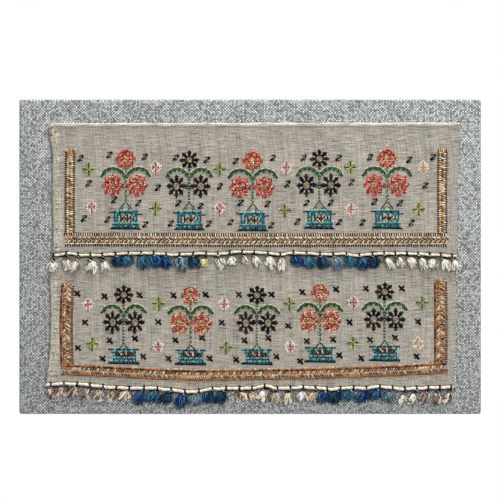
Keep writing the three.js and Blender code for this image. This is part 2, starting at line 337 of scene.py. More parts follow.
def addWearAndHemHighlight(finish, flat, u, v, colour, shade):
    wander = (finish.noise(flat, wearAndHemHighlight["wanderSize"], 3) - .5) * wearAndHemHighlight["wander"]
    edge = finish.ranged(u + wander, *wearAndHemHighlight["selvedge"], 1, 0)
    colour = finish.mixed(edge * wearAndHemHighlight["selvedgeShare"], colour, paint(wearAndHemHighlight["selvedgeColour"]))
    shade = shade + (finish.noise(flat, wearAndHemHighlight["mottleSize"], 2) - .5) * edge * wearAndHemHighlight["mottle"]
    # painted highlight: the top of the rolled hem is painted paler, as where it catches the light
    hemHighlight = finish.ranged(v, *wearAndHemHighlight["hemHighlight"], 1, 0)
    colour = finish.mixed(hemHighlight * wearAndHemHighlight["hemHighlightShare"], colour, paint(wearAndHemHighlight["hemHighlightColour"]))
    stain = finish.ranged(finish.noise(flat, wearAndHemHighlight["stainSize"], 3), *wearAndHemHighlight["stain"])
    colour = finish.mixed(stain * wearAndHemHighlight["stainShare"], colour, paint(wearAndHemHighlight["stainColour"]))
    patches = finish.noise(finish.stretched(flat, (1, 1.6, 1)), wearAndHemHighlight["coolSize"], 2)
    cool = finish.ranged(patches, *wearAndHemHighlight["cool"])
    return finish.mixed(cool * wearAndHemHighlight["coolShare"], colour, paint(wearAndHemHighlight["coolColour"])), shade


def threadFinish(name, roughness, grain):
    finish = Finish(name, roughness)
    dyed = finish.node("Attribute", {"attribute_name": "dye"})
    place = finish.node("TexCoord", None, None, 3)
    fleck = finish.noise(place, 900, 3)
    finish.set("Base Color", finish.scaled(dyed, .7 + fleck * .6))
    finish.set("Specular IOR Level", .1)
    finish.bump(finish.noise(place, grain, 2), .12 * mm, .8)
    return finish.material


# The bars' pine, which shows only from behind: the sizes of its noises along and across the
# grain, its colours and its roughness

wood = {
    "across": 38, "along": 1.6, "pale": (214, 184, 138), "line": (186, 146, 96), "ring": (150, 106, 64),
    "roughness": .5, "rougher": .25,
}


def woodFinish(name, grainAxis):
    finish = Finish(name, wood["roughness"])
    place = finish.node("TexCoord", None, None, 3)
    scales = [wood["across"]] * 3
    scales[grainAxis] = wood["along"]
    long = finish.stretched(place, scales)
    ring = finish.noise(long, 1, 3)
    lines = (finish.noise(long, 2.4, 5) * 34 + ring * 22).sine()
    fibre = finish.noise(finish.stretched(long, (6, 6, 6)), 4, 2)
    colour = finish.mixed(finish.ranged(lines, -.9, .9), paint(wood["pale"]), paint(wood["line"]))
    colour = finish.mixed(finish.ranged(ring, .58, .8), colour, paint(wood["ring"]))
    finish.set("Base Color", finish.scaled(colour, .82 + fibre * .36))
    finish.set("Roughness", wood["roughness"] + fibre * wood["rougher"])
    finish.bump(lines * .3 + fibre, .25 * mm, .5)
    return finish.material


groundWeave = clothFinish("grey_linen", "ground")
towelWeave = clothFinish("towel_linen", "towel")
silk = threadFinish("embroidery_silk", .75, 1500)
yarn = threadFinish("tassel_yarn", .85, 1100)
barWood = {True: woodFinish("pine_along_x", 0), False: woodFinish("pine_along_z", 2)}
for barName, lying in (("top", True), ("bottom", True), ("left", False), ("right", False)):
    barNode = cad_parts["stretcher_" + barName]
    barNode.material_slots[0].material = barWood[lying]
print("finishes ready")


# Meshes made of many small shapes

class Bundle:
    def __init__(self):
        self.points = []
        self.faces = []
        self.dyes = []
        self.count = 0

    def add(self, points, faces, dye):
        self.points.append(points)
        self.faces.extend([[corner + self.count for corner in face] for face in faces])
        self.dyes.append(np.tile(np.array([*dye, 1]), (len(points), 1)))
        self.count += len(points)

    def thread(self, points, radii, sides, dye):
        self.add(*tube(points, radii, sides), dye)

    def piece(self, name, material, slot):
        mesh = bpy.data.meshes.new(name)
        points = np.concatenate(self.points) * mm
        mesh.from_pydata(points.tolist(), [], self.faces)
        dye = mesh.color_attributes.new("dye", "FLOAT_COLOR", "POINT")
        dye.data.foreach_set("color", np.concatenate(self.dyes).astype(np.float32).ravel())
        mesh.materials.append(material)
        mesh.shade_smooth()
        made = placed(name, mesh)
        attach(made, "root")
        return made


def mode(name):
    bpy.ops.object.mode_set(mode=name)


def deselectAll():
    bpy.ops.object.select_all(action="DESELECT")


def deselectMesh(kind):
    mode("EDIT")
    bpy.ops.mesh.select_all(action="DESELECT")
    bpy.ops.mesh.select_mode(type=kind)
    mode("OBJECT")


def modelStitch():
    # one raised thread, a unit long and wide, whose two ends dive into the cloth
    straight, dive = .62, .35
    deselectAll()
    bpy.ops.mesh.primitive_cylinder_add(vertices=4, radius=.5, depth=straight,
                                        end_fill_type="TRIFAN", rotation=(0, math.pi / 2, 0))
    stitch = bpy.context.object
    bpy.ops.object.transform_apply(rotation=True)
    deselectMesh("VERT")
    for point in stitch.data.vertices:
        point.select = math.hypot(point.co.y, point.co.z) < .01
    mode("EDIT")
    bpy.ops.transform.resize(value=(1 / straight, 1, 1))
    bpy.ops.transform.translate(value=(0, 0, -dive))
    mode("OBJECT")
    points = np.array([point.co[:] for point in stitch.data.vertices])
    faces = [list(face.vertices) for face in stitch.data.polygons]
    bpy.data.objects.remove(stitch)
    return points, faces


def tube(points, radii, sides):
    # a closed thread along a list of points, with a radius for each
    points = np.array(points, float)
    ahead = np.gradient(points, axis=0)
    ahead /= np.linalg.norm(ahead, axis=1)[:, None]
    helper = np.array((.31, -.9, .3))
    side = np.cross(ahead, helper)
    side /= np.linalg.norm(side, axis=1)[:, None]
    other = np.cross(side, ahead)
    turn = np.arange(sides) * 2 * math.pi / sides
    ring = np.cos(turn)[None, :, None] * side[:, None, :] + np.sin(turn)[None, :, None] * other[:, None, :]
    radii = np.array(radii, float)
    rings = points[:, None, :] + radii[:, None, None] * ring
    ends = np.array((points[0] - ahead[0] * radii[0] * .6, points[-1] + ahead[-1] * radii[-1] * .6))
    vertices = np.concatenate((rings.reshape(-1, 3), ends))
    last = len(points) - 1
    faces = []
    for r in range(last):
        for s in range(sides):
            n = (s + 1) % sides
            faces.append((r * sides + s, (r + 1) * sides + s, (r + 1) * sides + n, r * sides + n))
    first, final = len(vertices) - 2, len(vertices) - 1
    for s in range(sides):
        n = (s + 1) % sides
        faces.append((first, s, n))
        faces.append((final, last * sides + n, last * sides + s))
    return vertices, faces


# The strips' shape. The edge rows are x, the height z of the edge cord and how far the cloth
# bellies out there; a side's rows are z and x; the rows down a strip are the share of the way,
# how far its back stands off the ground linen, and its thickness. A run of tassels is their
# colours in turn, the first one's x, their pitch, the length of the wound stem, the tuft's length
# and width, and how far each tuft leans to the right. The sides curl up below curlFrom, and
# cordSwell is how much fuller than plain the edge cord is.

cord = {"radius": 1.3, "parting": .4, "clearance": .15}
curl = {"rise": .9, "width": 5, "fade": 12}

upper = {
    "name": "upper", "topLeft": -13.8, "topRight": -13.2, "topRounding": 6, "backStand": 1.6,
    "cordSwell": 1.04, "curlFrom": -14,
    "left": [(-13, -243.2), (-24, -242.7), (-37, -241), (-43, -239.6), (-58, -238.6), (-110, -239),
             (-176, -237.7)],
    "right": [(-13, 254), (-90, 250.8), (-176, 249.1)],
    "edge": [
        (-237.7, -174.3, .2), (-220.7, -171.5, .5), (-204, -173.3, 0), (-179.5, -173.4, .3),
        (-151.6, -171.6, .6), (-117.7, -171.4, .1), (-91, -173.1, .4), (-60.7, -171.6, .7),
        (-38, -172.2, .2), (-15.9, -169.6, .9), (18, -170.9, .2), (36.2, -172.8, 0),
        (52, -170.9, .5), (96.8, -172.8, .1), (109, -171.7, .5), (129.6, -174, .2),
        (150, -172, .6), (191.4, -171.7, .2), (225, -173.4, .5), (249.1, -174.8, .2),
    ],
    "rows": [(0, .3, 1.1), (.006, .3, 2), (.013, .3, 2.1), (.02, .3, 1.7), (.026, .3, 1),
             (.4, .3, 1), (.7, .3, 1), (.865, .3, 1), (.935, 1.6, 1), (1, 1.6, 1)],
    "tassels": [
        ("cream", -237, 14.7, 8.5, 12, 10, (-2, 2, -2, 2, 3)),
        ("navy teal", -162, 15.2, 3, 13, 10, (2, -2)),
        ("teal azure azure", -131.9, 15.2, 3, 14, 11, (4, 3, 0)),
        ("haze navy", -85.6, 16.8, 4, 13, 12, (4, 2)),
        ("straw", -52.8, 14, 7, 9, 7, (-4,)),
        ("cream", -39, 14.6, 6, 10, 9, (4, 3, 5, 4)),
        ("cream", 21.3, 15.2, 5, 14, 11, (5, 3)),
        ("azure teal navy haze teal azure navy", 52.7, 15.9, 4, 12, 11, (6, 4, 4, 6, 6, 5, 2)),
        ("cream", 161.9, 13.7, 6, 12, 9, (7, 7, 8, 6, 4, 8, 6)),
    ],
}

lower = {
    "name": "lower", "topLeft": -164, "topRight": -164, "topRounding": 0, "backStand": .3,
    "cordSwell": 1.24, "curlFrom": -200,
    "left": [(-164, -236), (-176, -238.5), (-196, -242.8), (-229, -240.8), (-284, -241.8),
             (-334, -246.2)],
    "right": [(-164, 248), (-210, 249.1), (-277, 249.1), (-334, 245.1)],
    "edge": [
        (-246.2, -330.8, .8), (-232.8, -329.2, .3), (-200.1, -329.9, .1), (-175.9, -332.8, .6),
        (-139.5, -334.6, .2), (-121.3, -334, .5), (-95, -336.6, .2), (-69.2, -338.9, .7),
        (-50, -335.8, .2), (-25, -334.6, .4), (2, -334.4, .2), (19.3, -331.6, .9),
        (33, -334.6, .2), (67.8, -333.4, .6), (100.5, -335.6, .1), (117.4, -333.8, .4),
        (136.8, -334.6, .1), (157.4, -332.5, .6), (181.7, -335.2, .2), (215.6, -334, .4),
        (245.1, -333.2, .7),
    ],
    "rows": [(0, .3, 1), (.3, .3, 1), (.6, .3, 1), (.85, .3, 1), (1, .3, 1)],
    "tassels": [
        ("rose", -240.6, 15.8, 4, 13, 11, (0, -4, -7, -8, -7)),
        ("oat", -161.6, 15.8, 4, 13, 11, (-7, -8)),
        ("azure teal navy azure haze azure navy", -127.9, 16.5, 4, 13, 12, (-7, -8, -8, -6, -5, -7, -8)),
        ("oat oat cream", -13, 15.4, 6, 12, 11, (4, 1, -3, -6, -4, -2, -5)),
        ("azure navy teal azure azure haze", 93.3, 15.8, 4, 12, 12, (-7, -8, -8, -6, -7, -5)),
        ("cream", 187.3, 13.9, 7, 12, 10, (-2, -4)),
        ("rose", 215.1, 13.9, 7, 12, 10, (-5, -3, -4)),
    ],
}


def between(rows, at, column):
    keys = [row[0] for row in rows]
    values = [row[column] for row in rows]
    if keys[-1] < keys[0]:
        keys.reverse()
        values.reverse()
    return float(np.interp(at, keys, values))


def smoothBetween(rows, at, column):
    # a curve through the rows, with each row's slope taken from its neighbours
    keys = [row[0] for row in rows]
    i = min(max(int(np.searchsorted(keys, at)) - 1, 0), len(rows) - 2)

    def slope(k):
        a, b = max(k - 1, 0), min(k + 1, len(rows) - 1)
        return (rows[b][column] - rows[a][column]) / (keys[b] - keys[a])

    span = keys[i + 1] - keys[i]
    t = min(max((at - keys[i]) / span, 0), 1)
    start, end = rows[i][column], rows[i + 1][column]
    return (start * (2 * t ** 3 - 3 * t ** 2 + 1) + end * (3 * t ** 2 - 2 * t ** 3)
            + span * slope(i) * (t ** 3 - 2 * t ** 2 + t) + span * slope(i + 1) * (t ** 3 - t ** 2))


def hemHeight(band, x):
    return smoothBetween(band["edge"], x, 1) + cord["radius"] + cord["parting"]


def topHeight(band, across):
    return band["topLeft"] + (band["topRight"] - band["topLeft"]) * across


def pucker(x, z):
    # soft unevenness of a washed cloth, never below nought
    slow = math.sin(x * .043 + 1.3 * math.sin(z * .05)) * math.sin(z * .061 + .8)
    quick = math.sin(x * .19 + z * .05) * math.sin(z * .23 - x * .03)
    return .16 + .11 * slow + .05 * quick


def edgeCurl(band, x, z):
    # the two cut sides lift a little
    inward = min(x - between(band["left"], z, 1), between(band["right"], z, 1) - x)
    near = min(max(1 - inward / curl["width"], 0), 1)
    below = min(max((band["curlFrom"] - z) / curl["fade"], 0), 1)
    return curl["rise"] * near * near * below


def frontAt(band, x, z):
    edge = band["edge"]
    across = (x - edge[0][0]) / (edge[-1][0] - edge[0][0])
    top = topHeight(band, across)
    share = min(max((top - z) / (top - hemHeight(band, x)), 0), 1)
    stand = between(band["rows"], share, 1)
    thick = between(band["rows"], share, 2)
    belly = max(smoothBetween(edge, x, 2), 0) * share ** 3
    return frontFace - stand - thick - belly - pucker(x, z) - edgeCurl(band, x, z)


sheetLook = {"columns": 210, "rows": 74, "rag": .55, "ragColumns": 60, "waver": .35, "waverRows": 30}


def clothSheet(band):
    # a fine grid on the strip's own surface, closed by its back and its four edges
    columns, rows = sheetLook["columns"], sheetLook["rows"]
    edge = band["edge"]
    first, span = edge[0][0], edge[-1][0] - edge[0][0]
    width = columns + 1
    front, back, flat = [], [], []
    for r in range(rows + 1):
        share = r / rows
        for c in range(width):
            across = c / columns
            top = topHeight(band, across)
            rounding = band["topRounding"]
            nearCorner = max(rounding - across * span, 0)
            top -= rounding - math.sqrt(rounding ** 2 - nearCorner ** 2) if nearCorner else 0
            endX = first + across * span
            z = top + (hemHeight(band, endX) - top) * share
            left, right = between(band["left"], z, 1), between(band["right"], z, 1)
            x = left + (right - left) * across
            # the last eighth runs out to the cord's ends
            x += (endX - x) * max(share * 8 - 7, 0)
            # the left side is ragged and the top wavers
            rag = sheetLook["rag"] * math.sin(z * 1.7) * math.sin(z * .61 + 1)
            x += rag * max(1 - across * sheetLook["ragColumns"], 0)
            waver = sheetLook["waver"] * math.sin(x * .11) * math.sin(x * .037 + 2)
            z += waver * max(1 - share * sheetLook["waverRows"], 0)
            y = frontAt(band, x, z)
            thick = between(band["rows"], share, 2)
            front.append((x, y, z))
            back.append((x, y + thick, z))
            flat.append((x - left, top - z))
    faces = []
    turn = len(front)
    for r in range(rows):
        for c in range(columns):
            a = r * width + c
            faces.append((a + width, a + width + 1, a + 1, a))
            faces.append((turn + a, turn + a + 1, turn + a + width + 1, turn + a + width))
        a = r * width
        faces.append((a, turn + a, turn + a + width, a + width))
        a += columns
        faces.append((a + width, turn + a + width, turn + a, a))
    for c in range(columns):
        faces.append((c, c + 1, turn + c + 1, turn + c))
        a = rows * width + c
        faces.append((a + 1, a, turn + a, turn + a + 1))
    mesh = bpy.data.meshes.new(band["name"] + "_cloth")
    mesh.from_pydata((np.array(front + back) * mm).tolist(), [], faces)
    uvs = mesh.uv_layers.new(name="cloth")
    places = np.array(flat + flat) * mm
    corners = np.zeros(len(mesh.loops), np.int32)
    mesh.loops.foreach_get("vertex_index", corners)
    uvs.data.foreach_set("uv", places[corners].astype(np.float32).ravel())
    mesh.materials.append(towelWeave)
    mesh.shade_smooth()
    made = placed(band["name"] + "_cloth", mesh)
    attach(made, "root")
    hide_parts(band["name"] + "_band")
    return made


# The ground linen: wrapped over the front and the sides and turned in on the back

wrap = {
    "radius": 3, "roundSteps": 4, "thickness": 1.2, "turnIn": 29, "foldWidth": 1.2, "foldRise": .3,
    "smoothBelow": 40, "backArea": .1, "tiny": .0001,
}


def selectFaces(mesh, chosen):
    for face in mesh.polygons:
        face.select = chosen(face)


def groundLinen():
    deselectAll()
    bpy.ops.mesh.primitive_cube_add(size=1, location=(panelLow + panelHigh) / 2 * mm)
    cloth = bpy.context.object
    cloth.name = "ground_linen"
    cloth.scale = (panelHigh - panelLow) * mm
    bpy.ops.object.transform_apply(location=True, scale=True)
    mode("EDIT")
    bpy.ops.mesh.select_all(action="SELECT")
    bpy.ops.mesh.bevel(offset=wrap["radius"] * mm, segments=wrap["roundSteps"], affect="EDGES")
    deselectMesh("FACE")
    selectFaces(cloth.data, lambda face: face.normal.y > .99 and face.area > wrap["backArea"])
    mode("EDIT")
    bpy.ops.mesh.inset(thickness=(wrap["turnIn"] - wrap["radius"]) * mm)
    bpy.ops.mesh.delete(type="FACE")
    mode("OBJECT")
    foldCorners(cloth)
    layFlat(cloth)
    thicken = cloth.modifiers.new("thickness", "SOLIDIFY")
    thicken.thickness = wrap["thickness"] * mm
    thicken.offset = -1
    thicken.use_even_offset = True
    bpy.ops.object.modifier_apply(modifier="thickness")
    cloth.data.materials.append(groundWeave)
    bpy.ops.object.shade_smooth_by_angle(angle=math.radians(wrap["smoothBelow"]))
    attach(cloth, "root")
    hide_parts("ground_cover")
    return cloth


def foldCorners(cloth):
    # a low ridge along each corner's diagonal, where the turned cloth is folded over itself
    deselectMesh("EDGE")
    points = cloth.data.vertices
    back = panelHigh.y * mm - wrap["tiny"]
    for edge in cloth.data.edges:
        a, b = (points[i].co for i in edge.vertices)
        slanted = min(abs(a.x - b.x), abs(a.z - b.z)) > .01
        edge.select = slanted and min(a.y, b.y) > back
    mode("EDIT")
    bpy.ops.mesh.bevel(offset=wrap["foldWidth"] * mm, segments=2, affect="EDGES")
    mode("OBJECT")
    inner = (panelHigh.x - wrap["turnIn"]) * mm
    innerZ = (panelHigh.z - panelMiddleZ - wrap["turnIn"]) * mm
    for point in points:
        fromCorner = (abs(point.co.x) - inner) - (abs(point.co.z - panelMiddleZ * mm) - innerZ)
        if point.co.y > back and abs(fromCorner) < wrap["tiny"]:
            point.co.y += wrap["foldRise"] * mm


def layFlat(cloth):
    # each point's place on the cloth as it lay before it was wrapped
    uvs = cloth.data.uv_layers.active or cloth.data.uv_layers.new(name="cloth")
    uvs.name = "cloth"
    half = (panelHigh - panelLow) / 2 * mm
    middle = (panelHigh + panelLow) / 2 * mm
    for face in cloth.data.polygons:
        normal = face.normal
        centre = face.center - middle
        onBack = normal.y > .7
        sideways = abs(centre.x) - half.x > abs(centre.z) - half.z
        for corner in face.loop_indices:
            place = cloth.data.vertices[cloth.data.loops[corner].vertex_index].co - middle
            u, v = place.x, place.z
            if onBack or abs(normal.y) < .7:
                down = place.y + half.y
                inward = min(half.x - abs(place.x), half.z - abs(place.z)) if onBack else 0
                if sideways:
                    u = math.copysign(half.x + down + inward, place.x)
                else:
                    v = math.copysign(half.z + down + inward, place.z)
            uvs.data[corner].uv = (u, v)


ground = groundLinen()
upperCloth = clothSheet(upper)
lowerCloth = clothSheet(lower)
print("cloth laid")


# Embroidery threads, in the photograph's colours

dyes = {
    "coral": (206, 100, 84), "orange": (210, 110, 62), "rose": (210, 108, 104),
    "peach": (244, 196, 174), "red": (176, 44, 44), "brickRed": (122, 44, 42),
    "darkRed": (62, 16, 14), "black": (13, 9, 9), "soot": (60, 46, 42), "violet": (34, 22, 30),
    "palest": (206, 198, 196), "cream": (238, 228, 206), "sand": (232, 214, 180),
    "straw": (214, 208, 140), "khaki": (142, 136, 100), "ochre": (150, 132, 78),
    "brown": (52, 30, 17), "amber": (200, 146, 86), "tan": (188, 156, 120), "rust": (160, 98, 52),
    "umber": (132, 76, 38), "rustDark": (76, 38, 15), "plumBrown": (118, 80, 58),
    "leaf": (72, 114, 72), "leafDark": (30, 50, 32), "sage": (140, 162, 130), "mint": (170, 190, 158),
    "olive": (92, 92, 54), "oliveDark": (58, 60, 28), "lime": (174, 176, 98),
    "limeDark": (100, 108, 36), "teal": (10, 102, 112), "greenTeal": (62, 146, 152),
    "paleTeal": (132, 196, 200), "greyTeal": (74, 92, 88), "blue": (26, 104, 130),
    "navy": (5, 34, 42), "pink": (250, 222, 212), "dustyPink": (190, 112, 106),
}
palettes = {
    "coral": {
        "m": ("coral", "red", "rose", "coral"), "f": ("peach", "rose", "peach"),
        "s": ("peach", "coral"), "k": ("darkRed", "darkRed", "red"), "c": ("straw", "ochre"),
        "d": ("ochre", "rust"),
    },
    "coralTop": {
        "m": ("coral", "orange", "red", "orange"), "f": ("peach", "orange", "peach"),
        "s": ("peach", "coral"), "k": ("darkRed", "darkRed", "red"), "c": ("straw", "cream"),
        "d": ("ochre", "straw"),
    },
    "coralLow": {
        "m": ("coral", "orange", "rose", "coral"), "f": ("peach", "sand"),
        "s": ("peach", "sand"), "k": ("darkRed", "darkRed", "rust"), "c": ("straw", "cream"),
        "d": ("ochre", "rust"),
    },
    "black": {
        "k": ("black", "black", "soot", "violet"), "w": ("straw", "cream"),
        "y": ("ochre", "rust"), "g": ("olive", "khaki"),
    },
    "pot": {
        "n": ("navy", "navy", "teal"), "t": ("teal", "blue"), "T": ("paleTeal", "greenTeal"),
        "u": ("mint", "paleTeal"), "r": ("red", "darkRed"), "k": ("black", "darkRed"),
        "w": ("cream", "sand", "mint"),
    },
    "collar": {"w": ("cream", "paleTeal"), "n": ("navy", "black")},
    "pinkSprig": {
        "a": ("pink", "cream", "pink", "cream"), "b": ("dustyPink", "pink"),
        "k": ("brickRed", "dustyPink"),
    },
    "creamSprig": {"a": ("cream", "sand", "cream"), "b": ("tan", "pink"), "k": ("tan",)},
    "greenSprig": {
        "a": ("lime", "straw", "sage", "sage"), "b": ("limeDark", "lime"),
        "k": ("oliveDark", "oliveDark", "limeDark"),
    },
}

# Charts, one letter to a thread or a pair. In a pot, n t T u run from its darkest thread to its
# palest, and r k w are its label. In a sprig, a is the outline, b and k its veins. In a coral
# flower, m is the petals, k and f their dark and pale flecks, k and s between petals, c and d
# the middle; its dark flecks k are dark red thread that also stands for the shade between the
# stitches, partly painted shade. The middle of a black flower is w, y and g.

blackMiddleChart = (
    ".yg.",
    "gwyy",
    "ygw.",
)
upperPotChart = (
    "uT.uTuTuTuTu.TuTu",
    ".nnTnnntnnnntnnn.",
    ".tTtntTttTtntTtt.",
    ".nTnttuwtkwutTnt.",
    ".tTtukwkwkwkutTn.",
    ".nTtwkrkrkrkwnTt.",
    ".tTnwrkwrkrwktTn.",
    ".nttukwkwkwkuTnt.",
    ".TuTTuTuTTuTTuTT.",
    "nnntnnnnntnnnnnnn",
    "TTttnTttTtnttTttT",
    "nnnnntnnnnnntnnnn",
)
lowerPotChart = (
    "nnnnTnnnnnnnnnnTnnnn",
    "..TuTtTuTtTuTtTuTt..",
    "..ntnkkwkkkwkkkntn..",
    "...TnkrkwrkwrkrknT..",
    "...ntnkkrkkrkkkntn..",
    "..TuTtuTtTuTtTuTuT..",
    "...nnntnnnnntnnnnn..",
    "..TtTuTtTtTuTtTtTtT.",
    "nnnnnntnnnnnntnnnnnn",
)


def mirrored(half, end):
    # a sprig's chart from its top left quarter, down to the middle row, and its last row
    lines = [line + line[-2::-1] for line in half]
    return (*lines, *lines[-2:0:-1], end)


sprigCharts = {
    "greenSprig": mirrored(("....a", "...ak", "..aak", "..aak", "aaaak", "kkkba"), "....b...."),
    "pinkSprig": mirrored(("....a", "...ak", "..ab.", ".aabk", "aabak", "kakkb"), "....b...."),
}
flowerHead = {
    "petals": 8, "round": .93, "notch": .11, "heart": .13, "ring": .24, "between": -.82, "deep": .5,
}


def rosette(wide, high):
    # the chart of a round flower with eight petals
    lines = []
    for r in range(high):
        line = ""
        for c in range(wide):
            x = (c - (wide - 1) / 2) / (wide / 2)
            y = (r - (high - 1) / 2) / (high / 2)
            petal = math.cos(flowerHead["petals"] * math.atan2(x, y))
            away = math.hypot(x, y) / (flowerHead["round"] + flowerHead["notch"] * petal)
            if away > 1:
                line += "."
            elif away < flowerHead["heart"]:
                line += "d"
            elif away < flowerHead["ring"]:
                line += "c"
            elif petal < flowerHead["between"] and away > flowerHead["deep"]:
                line += chance.choice("ks")
            else:
                line += chance.choice(("mmmmmff", "kkkmmmf")[r % 2])
        lines.append(line)
    return lines


stitchPoints, stitchFaces = modelStitch()
thread = {
    "width": .95, "height": .75, "highest": 1.5, "sink": .12, "shades": (.6, 1.32), "brightest": .95,
}
cell = {"strayAcross": .15, "strayUp": .08, "reach": .56, "width": 1.04}


def dyeOf(name):
    shade = chance.uniform(*thread["shades"])
    return tuple(min(c * shade, thread["brightest"]) for c in linear(dyes[name]))


def stitch(bundle, band, start, end, name, width=None, rise=0):
    # a thread from start to end, both x and z on the strip
    width = width or thread["width"]
    (x0, z0), (x1, z1) = start, end
    along = np.array((x1 - x0, 0, z1 - z0))
    length = np.linalg.norm(along)
    forward = np.array((0, -1, 0))
    sideways = np.cross(forward, along / length)
    middleX, middleZ = (x0 + x1) / 2, (z0 + z1) / 2
    y = frontAt(band, middleX, middleZ) - thread["sink"] - rise
    height = thread["height"] * min(width / thread["width"], thread["highest"])
    points = (np.array((middleX, y, middleZ)) + stitchPoints[:, :1] * along
              + stitchPoints[:, 1:2] * width * sideways + stitchPoints[:, 2:] * height * forward)
    bundle.add(points, stitchFaces, dyeOf(name))


def sewChart(bundle, band, chart, palette, centre, cellWide, cellHigh, rise=0, halves=(.25, -.25)):
    # each cell of a chart is one level thread or two, one above the other
    wide = max(len(line) for line in chart)
    for r, line in enumerate(chart):
        for c, letter in enumerate(line):
            names = palette.get(letter, ())
            if not names:
                continue
            x = centre[0] + (c - (wide - 1) / 2) * cellWide
            z = centre[1] - (r - (len(chart) - 1) / 2) * cellHigh
            name = chance.choice(names)
            for half in halves:
                z2 = z + half * cellHigh + stray(cell["strayUp"])
                x2 = x + stray(cell["strayAcross"])
                reach = cellWide * cell["reach"]
                width = cellHigh * cell["width"] / len(halves)
                stitch(bundle, band, (x2 - reach, z2), (x2 + reach, z2), name, width, rise)


def sewLine(bundle, band, places, names, step, width, offset=0):
    # back stitches along a smooth line through a few places
    along = curveThrough(places, step)
    spread = .12
    for number in range(len(along) - 1):
        (x0, z0), (x1, z1) = along[number], along[number + 1]
        length = math.hypot(x1 - x0, z1 - z0)
        sideX, sideZ = -(z1 - z0) / length * offset, (x1 - x0) / length * offset
        start = (x0 + sideX - (x1 - x0) * spread, z0 + sideZ - (z1 - z0) * spread)
        end = (x1 + sideX + (x1 - x0) * spread, z1 + sideZ + (z1 - z0) * spread)
        name = names[(number + int(abs(offset) * 5)) % len(names)]
        stitch(bundle, band, start, end, name, width)


def curveThrough(places, step):
    # evenly spaced points on a smooth line through the places
    fine = []
    count = len(places)
    for i in range(count - 1):
        a, b = places[max(i - 1, 0)], places[i]
        c, d = places[i + 1], places[min(i + 2, count - 1)]
        for n in range(12):
            t = n / 12
            fine.append([.5 * (2 * q + (r - p) * t + (2 * p - 5 * q + 4 * r - s) * t * t
                               + (3 * q - p - 3 * r + s) * t ** 3) for p, q, r, s in zip(a, b, c, d)])
    fine.append(list(places[-1]))
    fine = np.array(fine)
    lengths = np.concatenate(([0], np.cumsum(np.linalg.norm(np.diff(fine, axis=0), axis=1))))
    number = max(int(round(lengths[-1] / step)), 1)
    wanted = np.linspace(0, lengths[-1], number + 1)
    return np.stack([np.interp(wanted, lengths, fine[:, k]) for k in range(2)], axis=1)


# A flower pot: three flowers, two leaves, a stem and the pot, below and beside the middle of
# the top flower, in the photograph's pixels. A row of stitches is its dyes, step and width, the
# last two in millimetres.

plant = {
    "top": {
        "upper": (rosette(14, 18), 1.5, 1.12), "lower": (rosette(14, 18), 1.34, 1.08),
        "down": 1, "reach": (9.8, 9.5),
    },
    "side": {
        "upper": (rosette(15, 21), 1.45, 1.08), "lower": (rosette(15, 21), 1.4, 1.12),
        "reach": (9.8, 11.6),
    },
    "leafRows": {
        "green": ((.95, ("leafDark", "mint", "leaf", "leaf")), (-.25, ("leaf", "leafDark")),
                  (-1.4, ("leafDark", "leaf", "leafDark"))),
        "pale": ((1.6, ("sage", "leaf", "mint")), (.5, ("leafDark", "leaf", "black", "leaf")),
                 (-.6, ("leaf", "leafDark", "sage")), (-1.6, ("leaf", "leafDark"))),
    },
    "paleRow": (-2.6, ("mint", "cream", "sand")),
    "leafStep": 1.9, "leafWidth": 1.55, "paleWidth": .9, "paleReach": .94,
    "stemFrom": 8, "stemWidth": 1.25, "darkStem": ((-.7, ("leafDark", "sage")), (.5, ("black", "mint"))),
    "tip": {"down": (-12.6, -8), "row": (("peach", "orange"), 1.6, 2)},
    "collar": {"chart": ("ww", "nn", "ww", "nn"), "down": 12, "cell": (1.8, 1.8)},
    "joint": {"rows": (26, 27.6, 29.2), "half": 4, "step": 2.2, "width": 1.4},
    "foot": {"tilt": (-.3, .4), "row": (("navy", "black"), 2.6, 1.9)},
    "handle": {"down": (54, 56.2), "long": 5.4, "up": .5, "row": (("black",), 3, 1.5)},
    "spread": {
        "above": 1.5, "from": .6, "reach": 6.2, "down": 7, "inner": 2.6,
        "outerRow": (("leafDark", "black"), 2.4, 1.3), "innerRow": (("mint", "sage", "leafDark"), 2, 1.4),
    },
}
pots = {
    "upper": {
        "chart": upperPotChart, "potMiddle": 60.6, "cellWide": 1.6, "cellHigh": 1.55, "stemTo": 45.5,
        "handles": 11, "footHalf": 15.2, "footDown": 70.3, "sideLeft": 12.9, "sideRight": 11.4,
        "stem": ((-1, ("mint", "sage", "leaf")), (0, ("leafDark", "leafDark", "mint")),
                 (1, ("mint", "leaf"))),
        "sideDown": 27.2, "leaf": ((23.4, 19), (20.2, 13.4), (13, 10.8), (6, 13), (0, 19.6)),
        "rows": [
            (126, 157.9, "coral"), (189.5, 158.6, "black"), (252.7, 159.6, "coral"),
            (319.3, 157.5, "black"), (386.8, 157.4, "coral"),
        ],
    },
    "lower": {
        "chart": lowerPotChart, "potMiddle": 62, "cellWide": 1.55, "cellHigh": 1.6, "stemTo": 52,
        "handles": 0, "footHalf": 15.8, "footDown": 69.6, "sideLeft": 11, "sideRight": 11.2,
        "stem": ((-.7, ("leaf", "sage", "leafDark", "mint")), (.5, ("black", "leafDark", "mint"))),
        "sideDown": 28.6, "leaf": ((21.6, 20), (17.4, 14.6), (10.8, 12.8), (4.8, 15.6), (0, 23.4)),
        "rows": [
            (124, 293, "black"), (190.7, 293.9, "coral"), (256.9, 293.6, "black"),
            (319.9, 291.4, "coral"), (384.3, 290.2, "black"),
        ],
    },
}


